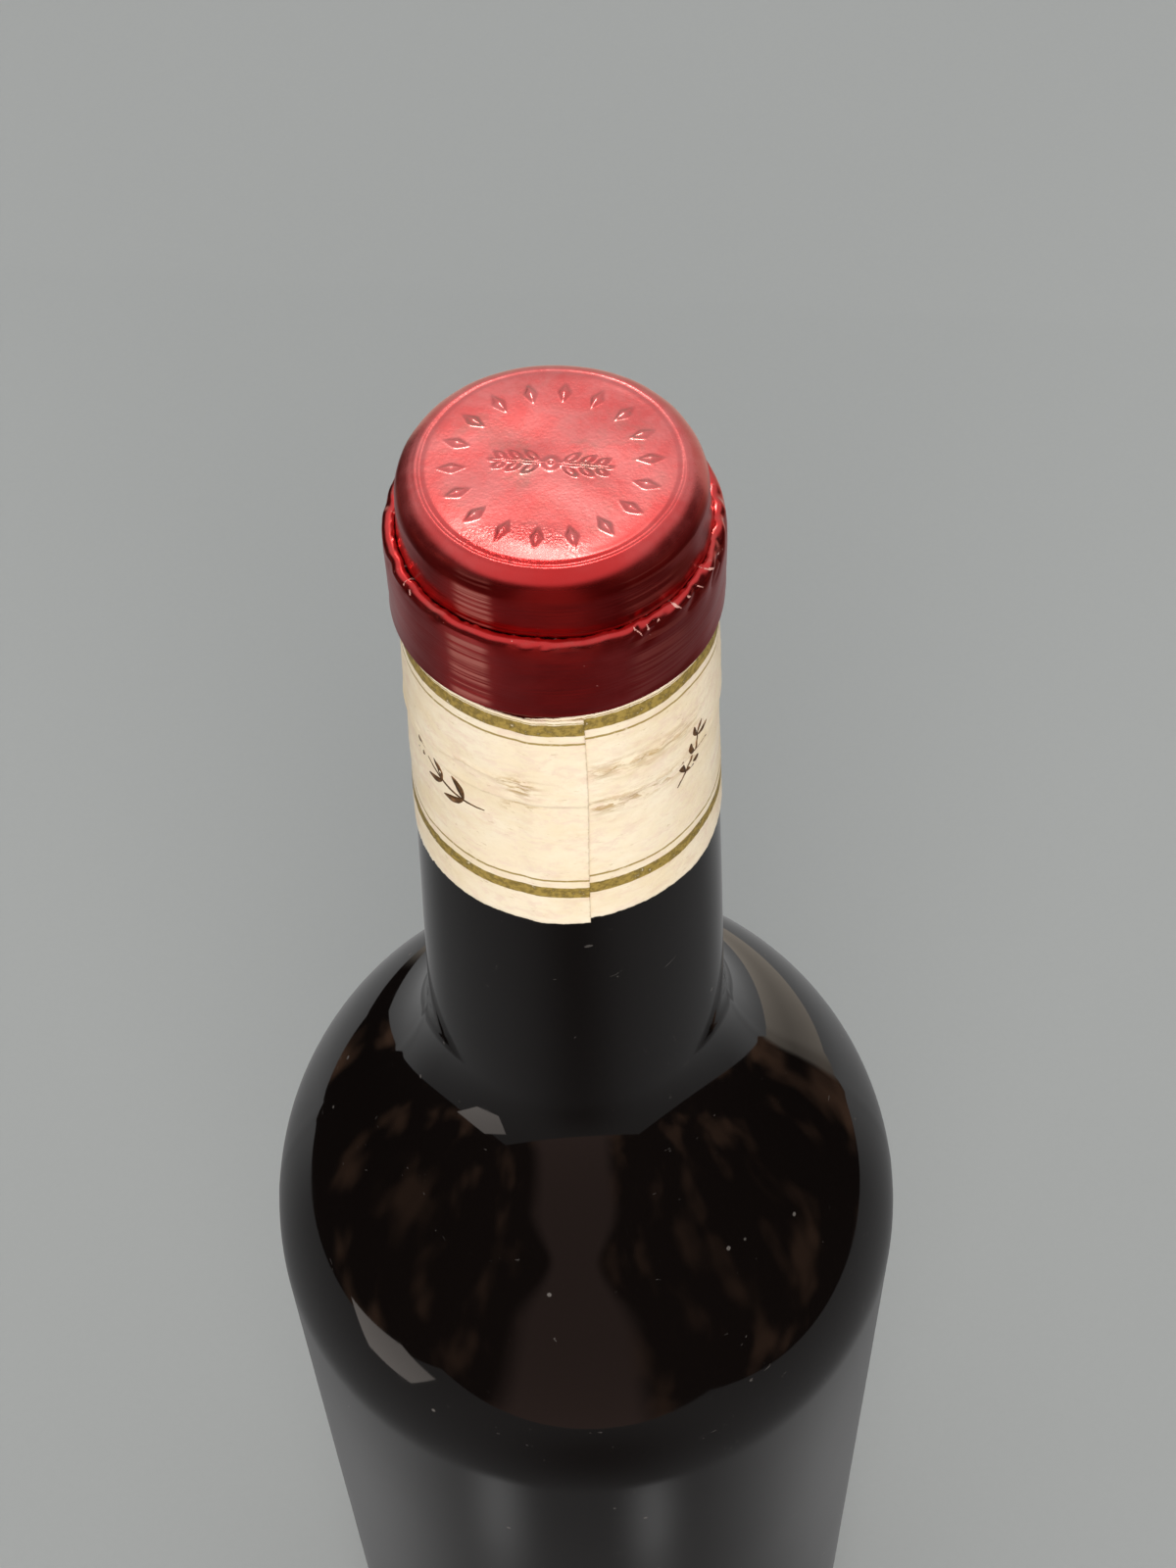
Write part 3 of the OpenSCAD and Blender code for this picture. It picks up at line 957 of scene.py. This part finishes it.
def skirt_outline(at):
    """Closed outline of the skirt's foil: rolled rim, wall, lower edge, sleeve, and its inside."""
    glass, foil, _, _ = settings()
    wall_r = glass.neck_d / 2 + glass.collar_out + foil.foil_t
    ledge = at.ledge - at.skirt
    low = at.sleeve - at.skirt

    def up(points):
        return [(r, at.skirt + z) for r, z in points]

    rim = arc((wall_r - 0.80 * MM, ledge - 0.60 * MM), 0.74 * MM, 140, 5, 22)
    round_off = line(rim[-1], (wall_r, ledge - 1.8 * MM), 0.15 * MM)
    wall = line((wall_r, ledge - 2.0 * MM), (wall_r, 0.3 * MM), 0.27 * MM)
    lower = [(wall_r + 0.02 * MM, 0.16 * MM), (wall_r - 0.01 * MM, 0.04 * MM),
             (wall_r - 0.07 * MM, -0.01 * MM), (wall_r - 0.2 * MM, 0.0)]
    neck_top = neck_radius(at.skirt) + foil.foil_t
    neck_low = neck_radius(at.sleeve) + foil.foil_t
    sleeve = [(neck_top + 0.05 * MM, 0.02 * MM)]
    sleeve += line((neck_top, -0.1 * MM), (neck_low, low), 3.5 * MM)
    inside = line((neck_low - foil.foil_t, low), (neck_top - foil.foil_t, 0.1 * MM), 3.5 * MM)
    inside += [(wall_r - foil.foil_t, 0.25 * MM), (wall_r - foil.foil_t, ledge * 0.5),
               (wall_r - foil.foil_t, ledge - 1.6 * MM), (wall_r - 0.6 * MM, ledge - 0.6 * MM),
               (wall_r - 1.0 * MM, ledge - 0.3 * MM), (wall_r - 1.4 * MM, ledge - 0.25 * MM)]
    outer = joined(up(rim), up(round_off), up(wall), up(lower))
    return outer, joined(up(sleeve), up(inside))


class BOTTLE_OT_skirt(bpy.types.Operator):
    """Skirt of the capsule: rolled and pinched rim, drawn wall and the sleeve under the paper"""

    bl_idname = "wine_bottle.skirt"
    bl_label = "Capsule skirt"

    def execute(self, context):
        _, foil, _, _ = settings()
        at = heights()
        outer, hidden = skirt_outline(at)
        r, z, t, outside = lathe_grid(outer, hidden, 720)

        # Crinkled and pinched rim
        above = z - at.skirt
        ledge = at.ledge - at.skirt
        press, ridge = pinched(t, above)
        on_rim = smooth(ledge - 0.8 * MM, ledge - 0.1 * MM, above) * outside
        on_roll = smooth(r[0, 0] + 0.55 * MM, r[0, 0] + 0.1 * MM, r) * outside
        crinkle = turning(t, 21, 20, 60, 16) * 0.012 + turning(t, 22, 7, 20) * 0.035
        jag = turning(t, 23, 40, 130, 20) * 0.07
        r = r + (crinkle + jag * on_roll) * MM * on_rim - press * outside
        z = z + turning(t, 24, 12, 34, 12) * 0.05 * MM * on_rim - press * 0.35 * on_rim
        z = z + (jag + turning(t, 28, 30, 90, 14) * 0.025) * MM * on_roll

        # Uneven wall and lower edge
        wall = smooth(0.2 * MM, 1.2 * MM, above) * smooth(ledge, ledge - 1.6 * MM, above) * outside
        r = r + wall * (turning(t, 25, 2, 7) * 0.035 + mottled(t, z, 26, 4, 22, 7 * MM) * 0.02) * MM
        edge = smooth(1.2 * MM, 0.0, above) * outside
        z = z + edge * turning(t, 27, 2, 9) * 0.05 * MM

        faces = ring_faces(*r.shape, closed_rows=True)
        thing = mesh_object("capsule_skirt", polar(r, t, z, -0.1 * MM * outside), faces,
                            foil_material(foil))
        # Wear, grime, a little dust with painted sheen, and the painted reflection on the wall
        wear = 0.05 * on_rim + 0.08 * on_roll + 0.30 * scratches(t, above) * outside
        wear = wear + 0.14 * ridge * smooth(ledge - 2.2 * MM, ledge, above) * outside
        wear = wear + 0.15 * smooth(0.25 * MM, 0.0, above) * outside
        # Painted reflection: pale streaks on the skirt's wall, below the rim
        brushed = brushed_patch(t) * smooth(ledge - 0.6 * MM, ledge - 1.4 * MM, above) * outside
        write_attributes(thing, wear=wear, grime=0.3 * on_rim, haze=0.12 + 0.05 * on_rim,
                         pitted=0 * on_rim, brushed=brushed)
        finish_piece(thing, "red_foil", "capsule")
        return {"FINISHED"}


# ---------------------------------------------------------------- paper band

def lap_angle():
    """Angle that the lapped ends share."""
    glass, _, band, _ = settings()
    return band.lap_w / (glass.neck_d / 2)


def along_paper(turn):
    """Angle along the strip, from its covered end, of a direction round the neck."""
    start = bpy.context.scene.bottle_band.lap_turn - lap_angle()
    return (np.asarray(turn, float) - start) % TURN


def hang(along):
    """How much lower than its highest stretch the strip hangs at an angle along it."""
    band = bpy.context.scene.bottle_band
    slope = smooth(math.radians(150), math.radians(340), along)
    return band.lap_drop * slope + band.lap_drop * np.clip(1 - along / lap_angle(), 0, 1)


def paper_surface(along, down):
    """Radius, height, rub and tear of the paper's outer face.

    along is the angle from the covered end, and down the distance from the upper edge."""
    _, foil, band, _ = settings()
    at = heights()
    lap = lap_angle()
    turn = along + band.lap_turn - lap
    share = down / band.height
    z_flat = at.band_top - down - hang(along)

    # Uneven and torn edges
    torn = bump((turn + math.pi / 2) % TURN, math.radians(290), math.radians(9))
    ragged = turning(turn, 31, 40, 130, 20) * 0.07 + turning(turn, 32, 140, 260, 12) * 0.05
    edge_wave = turning(turn, 33, 2, 8) * 0.07 + turning(turn, 34, 12, 40) * 0.03
    hem = smooth(0.93, 1.0, share)
    head = smooth(0.05, 0.0, share)
    z = z_flat + hem * (edge_wave + ragged * (0.35 + 2.6 * torn)) * MM
    z = z + head * (turning(turn, 35, 3, 12) * 0.07 + ragged * 0.5) * MM

    # Over the foil sleeve at the top, and over the strip's own first end at the lap
    below = (at.skirt - z_flat) / MM
    step_at = foil.sleeve_l / MM + 0.15 + 0.28 * turning(turn, 36, 1, 5)
    over_foil = smooth(0.35, -0.35, below - step_at)
    r = neck_radius(z_flat) + foil.foil_t * over_foil + band.paper_t + 0.03 * MM
    climb = smooth(TURN - math.radians(5), TURN + math.radians(2), along)
    r = r + climb * (band.paper_t + 0.02 * MM)

    # Creases: a sharp one on each side of the lap, and the line where the foil ends below
    degrees = bearing(turn)
    left_z = 10.3 + 1.3 * smooth(-128, -150, degrees) + 0.12 * turning(turn, 37, 9, 30)
    left = bump(below, left_z, 0.17) * smooth(-96, -112, degrees) * smooth(-178, -150, degrees)
    right_z = 8.75 + 0.25 * turning(turn, 38, 7, 40)
    right = bump(below, right_z, 0.18) * smooth(-84, -82, degrees) * smooth(-38, -66, degrees)
    foil_line = bump(below, step_at + 0.1, 0.20)
    broken = np.clip(0.8 + 0.45 * turning(turn, 39, 5, 17), 0.1, 1.3)
    r = r + (0.17 * left + 0.17 * right + 0.07 * bump(below, step_at - 0.5, 0.4)) * broken * MM
    r = r - foil_line * 0.09 * broken * MM

    # Crumpled zones and soft waves
    crumple = mottled(turn, z_flat, 40, 8, 40, 1.6 * MM, 40)
    on_right = smooth(-84, -80, degrees) * smooth(-18, -45, degrees)
    zone = on_right * (bump(below, 13.9, 1.3) + 0.7 * bump(below, 8.9, 1.5))
    zone = zone + 0.45 * bump(degrees, -108, 8) * bump(below, 11.0, 1.3)
    soft = mottled(turn, z_flat, 41, 2, 12, 11 * MM) * 0.035
    fine = mottled(turn, z_flat, 42, 30, 110, 0.9 * MM, 30) * 0.007
    r = r + (crumple * (0.008 + 0.075 * np.clip(zone, 0, 1)) + soft + fine) * MM

    # The free edge stands a little off the layer below, more in the middle
    to_edge = (TURN + lap) - along
    free = smooth(math.radians(5), 0.0, to_edge)
    r = r + free * (0.05 + 0.05 * np.sin(np.clip(share, 0, 1) * math.pi)) * MM

    # Stained and rubbed places, and the torn lower edge
    stain = 0.95 * bump(degrees, -107, 5.5) * bump(below, 11.0, 1.25)
    stain = stain + 0.5 * bump(degrees, -77, 6) * bump(below, 13.8, 0.9)
    rub = 0.55 * left + 0.6 * right + 0.7 * foil_line * broken + 0.75 * zone + stain
    rub = rub + 0.5 * smooth(math.radians(0.8), 0.0, to_edge)
    tear = np.clip(hem * (0.25 + torn) * smooth(0.965, 1.0, share), 0, 1)
    return r, z, np.clip(rub, 0, 1), tear


def sheet_faces(rows, across, first=0):
    """Quads of a sheet of points that is open at both ends."""
    corners = [first + i * across + j for i in range(rows - 1) for j in range(across - 1)]
    return [(p, p + across, p + across + 1, p + 1) for p in corners]


class BOTTLE_OT_band(bpy.types.Operator):
    """Paper strip wrapped round the neck with lapped ends, creases and a torn lower edge"""

    bl_idname = "wine_bottle.band"
    bl_label = "Neck band"

    def execute(self, context):
        _, _, band, _ = settings()
        across, tall = 640, 146  # columns and rows, for just under 200,000 triangles
        total = TURN + lap_angle()
        along = np.linspace(0, total, across)
        down = np.linspace(0, band.height, tall)
        along, down = np.meshgrid(along, down)
        r, z, rub, tear = paper_surface(along, down)
        sway = 0.12 * MM * np.sin(down / band.height * 5.0) * smooth(total - 0.05, total, along)
        turn = along + band.lap_turn - lap_angle() + sway / r

        # The inner face has only a few of the outer face's rows
        few = [0, tall // 3, 2 * tall // 3, tall - 1]
        inner = polar(r[few] - band.paper_t, turn[few], z[few])
        points = np.vstack([polar(r, turn, z), inner])
        first = tall * across
        faces = sheet_faces(tall, across)
        faces += [(a, d, c, b) for a, b, c, d in sheet_faces(len(few), across, first)]
        bottom, inner_bottom = first - across, first + 3 * across
        for j in range(across - 1):
            faces.append((j, j + 1, first + j + 1, first + j))
            faces.append((bottom + j + 1, bottom + j, inner_bottom + j, inner_bottom + j + 1))

        # One long flat face closes each end
        for side in (0, across - 1):
            cap = [i * across + side for i in range(tall)]
            cap += [first + i * across + side for i in (3, 2, 1, 0)]
            faces.append(tuple(cap if side else reversed(cap)))

        thing = mesh_object("neck_band_paper", points, faces, paper_material(band))
        for cap in thing.data.polygons[-2:]:
            cap.use_smooth = False
        write_attributes(thing, **{
            key: np.append(values, values[few])
            for key, values in (("down", down), ("rubbed", rub), ("torn", tear))})
        finish_piece(thing, "cream_paper", "neck_band")
        return {"FINISHED"}


def curve_through(points, count):
    """A smooth curve through a few points, at even parameter steps."""
    p = np.array([points[0], *points, points[-1]], float)
    out = []
    spans = len(points) - 1
    for s in np.linspace(0, spans, count):
        i = min(int(s), spans - 1)
        t = s - i
        a, b, c, d = p[i:i + 4]
        out.append(0.5 * (2 * b + (c - a) * t + (2 * a - 5 * b + 4 * c - d) * t * t
                          + (3 * b - 3 * c + d - a) * t ** 3))
    return np.array(out)


def sprig(root, tip, bow, pairs, size, pen):
    """Strokes, as points and a width, of a bowed stem with pairs of leaves and a leaf at its tip."""
    root, tip = np.array(root, float), np.array(tip, float)
    run = tip - root
    heading = run / np.linalg.norm(run)
    across = np.array([-heading[1], heading[0]])
    stem = [root + run * t + across * bow * math.sin(math.pi * t) for t in (0, 0.33, 0.67, 1)]
    strokes = [(stem, pen)]
    for k in range(pairs):
        t = (k + 0.8) / pairs
        foot = root + run * t + across * bow * math.sin(math.pi * t)
        reach = size * (1 - 0.4 * k / pairs)
        for side in (-1, 1):
            middle = foot + (heading * 0.35 + across * side * 0.5) * reach
            end = foot + (heading * 0.85 + across * side * 0.8) * reach
            strokes.append(([foot, middle, end], reach * 0.36))
    strokes.append(([tip - heading * 0.1, tip + heading * size * 0.35, tip + heading * size * 0.7],
                    size * 0.22))
    return strokes


def ornament_strokes():
    """Pen lines of two small sprigs: points round the neck and down from the skirt.

    Both are millimetres on the unrolled paper, counted from the middle of the front."""
    left = sprig((-8.0, 16.4), (-15.8, 13.9), -1.0, 3, 2.4, 0.3)
    right = sprig((11.0, 16.8), (13.9, 11.2), 0.7, 3, 2.0, 0.28)
    return left + right


class BOTTLE_OT_ornaments(bpy.types.Operator):
    """Thin printed ink lines that lie on the paper and follow its creases"""

    bl_idname = "wine_bottle.ornaments"
    bl_label = "Ink ornaments"

    def execute(self, context):
        _, _, band, _ = settings()
        at = heights()
        neck_r = neck_radius(at.sleeve)
        points, faces = [], []
        for stroke, wide in ornament_strokes():
            path = curve_through(stroke, 30 * (len(stroke) - 1))
            direction = np.gradient(path, axis=0)
            direction /= np.linalg.norm(direction, axis=1)[:, None]
            side = np.stack([-direction[:, 1], direction[:, 0]], -1)

            # Leaves run out to points, and thin lines only get a little thinner
            swell = np.sin(np.linspace(0.06, math.pi - 0.06, len(path)))
            taper = swell if wide > 0.4 else 0.4 + 0.6 * swell

            # Four edges of a thin strip that is set a little into the paper
            first = len(points)
            for sign, lift in ((-1, -0.03), (1, -0.03), (1, 0.02), (-1, 0.02)):
                spot = path + side * (sign * wide * taper / 2)[:, None]
                turn = spot[:, 0] * MM / neck_r - math.pi / 2
                along = along_paper(turn)
                along = np.where(along < lap_angle(), along + TURN, along)
                down = spot[:, 1] * MM - band.gap - hang(along)
                r, z, _, _ = paper_surface(along, down)
                points += list(polar(r + lift * MM, turn, z))
            count = len(path)
            for corner in range(4):
                a = first + corner * count
                b = first + (corner + 1) % 4 * count
                faces += [(a + i, a + i + 1, b + i + 1, b + i) for i in range(count - 1)]
            faces.append(tuple(first + c * count for c in range(4)))
            faces.append(tuple(first + c * count + count - 1 for c in (3, 2, 1, 0)))
        thing = mesh_object("neck_band_ornaments", points, faces, ink_material(band))
        finish_piece(thing, "cream_paper")
        return {"FINISHED"}


# ---------------------------------------------------------------- stage

def area_light(name, place, aim, size, radiance, tint, spread=math.pi):
    """A soft rectangular light with the given brightness straight ahead."""
    data = bpy.data.lights.new(name, "AREA")
    data.shape = "RECTANGLE"
    data.size, data.size_y = size
    half = spread / 2
    gain = 1 if spread == math.pi else math.tan(half) / (math.tan(half) - half)
    data.energy = radiance * math.pi * size[0] * size[1] / gain
    data.spread = spread
    data.color = tint
    light = new_object(name, data)
    light.location = place
    light.rotation_euler = (Vector(aim) - Vector(place)).to_track_quat("-Z", "Y").to_euler()
    light.visible_camera = False
    return light


def flat_sheet(name, corners, z, material):
    """A level sheet for the stage."""
    sheet = mesh_object(name, [(x, y, z) for x, y in corners], [tuple(range(len(corners)))], material)
    return sheet


def glowing(name):
    """A material that only shines, its nodes and its shader."""
    material, n, shader = new_material(name)
    n.set(shader, {"Base Color": (0, 0, 0), "Specular IOR Level": 0, "Emission Strength": 1})
    return material, n, shader


def reflected_floor_material():
    """A glowing sheet that paints the floor's reflection in the glass: painted shadow in front,
    painted light close to the bottle's sides, in two spots in front and behind.
    """
    material, n, shader = glowing("floor_in_glass")
    x, y, _ = n.axes(n.place())

    def spot(across, centre, wide, tall):
        u = n.math("DIVIDE", n.minus(across, centre[0] * MM), wide * MM)
        v = n.math("DIVIDE", n.minus(y, centre[1] * MM), tall * MM)
        return n.math("EXPONENT", n.times(n.plus(n.times(u, u), n.times(v, v)), -1.0))

    beside = spot(n.math("ABSOLUTE", x), (80, -15), 28, 48)
    streaks = n.plus(spot(x, (-52, -80), 14, 15), spot(x, (27, -90), 13, 12))
    front = spot(x, (0, -190), 95, 110)
    behind = n.step(y, 0.05, 0.22, 0.0, 0.18)
    # Painted light raises the level beside the bottle, in the two spots and behind; painted shadow
    # lowers it in front
    level = n.plus(0.142, n.times(beside, 0.145), n.times(streaks, 0.22), behind)
    level = n.minus(level, n.times(front, 0.095))
    grey = n.add("ShaderNodeCombineXYZ", {0: level, 1: level, 2: level})
    n.set(shader, {"Emission Color": grey.outputs[0]})
    return material


def seen_in_glass(sheet):
    """Keeps a sheet for reflections only."""
    sheet.visible_camera = False
    sheet.visible_diffuse = False
    sheet.visible_shadow = False
    sheet.active_material.cycles.emission_sampling = "NONE"


def room_world(stage):
    """Pale behind the floor, soft white as light; in reflections a ceiling over a dim warm room."""
    world = bpy.data.worlds.new("soft_room")
    bpy.context.scene.world = world
    world.use_nodes = True
    n = Nodes(world.node_tree)
    direction = n.add("ShaderNodeTexCoord").outputs["Generated"]
    x, y, z = n.axes(direction)

    # A dim, cluttered room
    clutter = n.noise(direction, (4.4, 4.4, 2.0), 2.0, 0.5)
    tone = n.mix(n.step(clutter, 0.50, 0.72), (0.012, 0.009, 0.008), (0.22, 0.12, 0.075))

    # A pale upright shape in front, narrower towards its top
    aside = n.math("ABSOLUTE", n.plus(x, 0.09))
    figure = n.math("DIVIDE", aside, n.step(z, 0.05, 0.5, 0.34, 0.14))
    figure = n.times(n.step(figure, 0.7, 1.15, 1.0, 0.0), n.step(y, -0.5, -0.3, 1.0, 0.0))
    tone = n.mix(figure, tone, (0.26, 0.17, 0.145))

    # A warm wall at the back right
    turn, rise = math.radians(75), math.radians(-6)
    aim = (math.cos(rise) * math.cos(turn), math.cos(rise) * math.sin(turn), math.sin(rise))
    near = n.add("ShaderNodeVectorMath", {0: direction, 1: aim}, operation="DOT_PRODUCT")
    wall = n.step(near.outputs["Value"], math.cos(math.radians(46)), math.cos(math.radians(38)))
    tone = n.mix(wall, tone, (0.66, 0.58, 0.49))

    # The ceiling, which comes down lower at the back
    lit = n.plus(z, n.times(n.most(y, 0.0), 0.45))
    tone = n.mix(n.step(lit, 0.42, 0.86), tone, (0.94, 0.90, 0.885))

    ray = n.add("ShaderNodeLightPath").outputs
    tone = n.mix(ray["Is Glossy Ray"], (stage.room,) * 3, tone)
    tone = n.mix(ray["Is Camera Ray"], tone, (0.52, 0.53, 0.53))
    n.set(world.node_tree.nodes["Background"], {"Color": tone})


class BOTTLE_OT_stage(bpy.types.Operator):
    """Pale floor, soft studio light and the camera"""

    bl_idname = "wine_bottle.stage"
    bl_label = "Stage"

    def execute(self, context):
        scene = context.scene
        stage = scene.bottle_stage
        at = heights()
        scene.view_settings.view_transform = "Standard"
        scene.view_settings.look = "None"
        room_world(stage)

        # The glass doesn't mirror the floor itself, but two glowing sheets seen only in reflections:
        # a painted reflection of the floor, with painted shade and light, and a painted reflection of
        # a pale card
        floor = flat_sheet("floor", [(-3, -3), (3, -3), (3, 3), (-3, 3)], -0.3 * MM,
                           floor_material(stage))
        floor.visible_glossy = False
        table = [(-0.31, -0.32), (0.19, -0.30), (0.40, 0.29), (-0.36, 0.40)]
        seen_in_glass(flat_sheet("floor_in_glass", table, -0.1 * MM, reflected_floor_material()))
        # A glowing card at the left front, a painted reflection of something pale, seen only in the
        # glass
        material, n, shader = glowing("painted_reflection_card")
        n.set(shader, {"Emission Color": (1.05, 0.95, 0.88)})
        card = [(-0.35, -0.08), (-0.25, -0.10), (-0.215, -0.16), (-0.255, -0.25), (-0.345, -0.22)]
        seen_in_glass(flat_sheet("painted_reflection_card", card, 0.5 * MM, material))

        # The front light is for matte surfaces and the small lamp for shiny ones
        top = (0, 0, at.disc)
        area_light("fill_front", (0, -1.75, 0.94), (0, 0, 0.2), (1.57, 1.4), 6.7,
                   (1.0, 0.965, 0.93), math.radians(70)).visible_glossy = False
        area_light("lamp_above", (-0.04, 0.484, 1.22), top, (0.10, 0.10), 125.0,
                   (1.0, 0.93, 0.84)).visible_diffuse = False

        data = bpy.data.cameras.new("camera")
        data.lens = stage.lens
        data.sensor_width = 36
        data.clip_start = 0.01
        camera = new_object("camera", data)
        aim = Euler((math.pi / 2 - stage.down, 0, -stage.yaw)).to_matrix()
        aim = aim @ Matrix.Rotation(stage.roll, 3, "Z")
        place = Matrix.Translation((0, -stage.back, at.skirt + stage.above))
        camera.matrix_world = place @ aim.to_4x4()
        scene.camera = camera
        return {"FINISHED"}


# ---------------------------------------------------------------- panel and run

class BOTTLE_PT_panel(bpy.types.Panel):
    """Lists the pieces of the bottle and their sizes"""

    bl_idname = "BOTTLE_PT_panel"
    bl_label = "Wine bottle"
    bl_space_type = "VIEW_3D"
    bl_region_type = "UI"
    bl_category = "Wine bottle"

    def draw(self, context):
        for operator in OPERATORS:
            self.layout.operator(operator.bl_idname)
        for title, group in zip(("Glass", "Capsule", "Neck band", "Stage"), settings()):
            box = self.layout.box()
            box.label(text=title)
            for key in group.bl_rna.properties.keys():
                if key not in ("rna_type", "name"):
                    box.prop(group, key)


OPERATORS = (BOTTLE_OT_glass, BOTTLE_OT_cup, BOTTLE_OT_skirt, BOTTLE_OT_band,
             BOTTLE_OT_ornaments, BOTTLE_OT_stage)
GROUPS = {"bottle_glass": GlassSettings, "bottle_capsule": CapsuleSettings,
          "bottle_band": BandSettings, "bottle_stage": StageSettings}


def register():
    for group in GROUPS.values():
        bpy.utils.register_class(group)
    for key, group in GROUPS.items():
        setattr(bpy.types.Scene, key, PointerProperty(type=group))
    for operator in OPERATORS:
        bpy.utils.register_class(operator)
    bpy.utils.register_class(BOTTLE_PT_panel)


def unregister():
    bpy.utils.unregister_class(BOTTLE_PT_panel)
    for operator in reversed(OPERATORS):
        bpy.utils.unregister_class(operator)
    for key, group in reversed(GROUPS.items()):
        delattr(bpy.types.Scene, key)
        bpy.utils.unregister_class(group)


def main():
    """Builds every piece and the stage."""
    register()
    for operator in OPERATORS:
        group, name = operator.bl_idname.split(".")
        getattr(getattr(bpy.ops, group), name)()


if __name__ == "__main__":
    main()
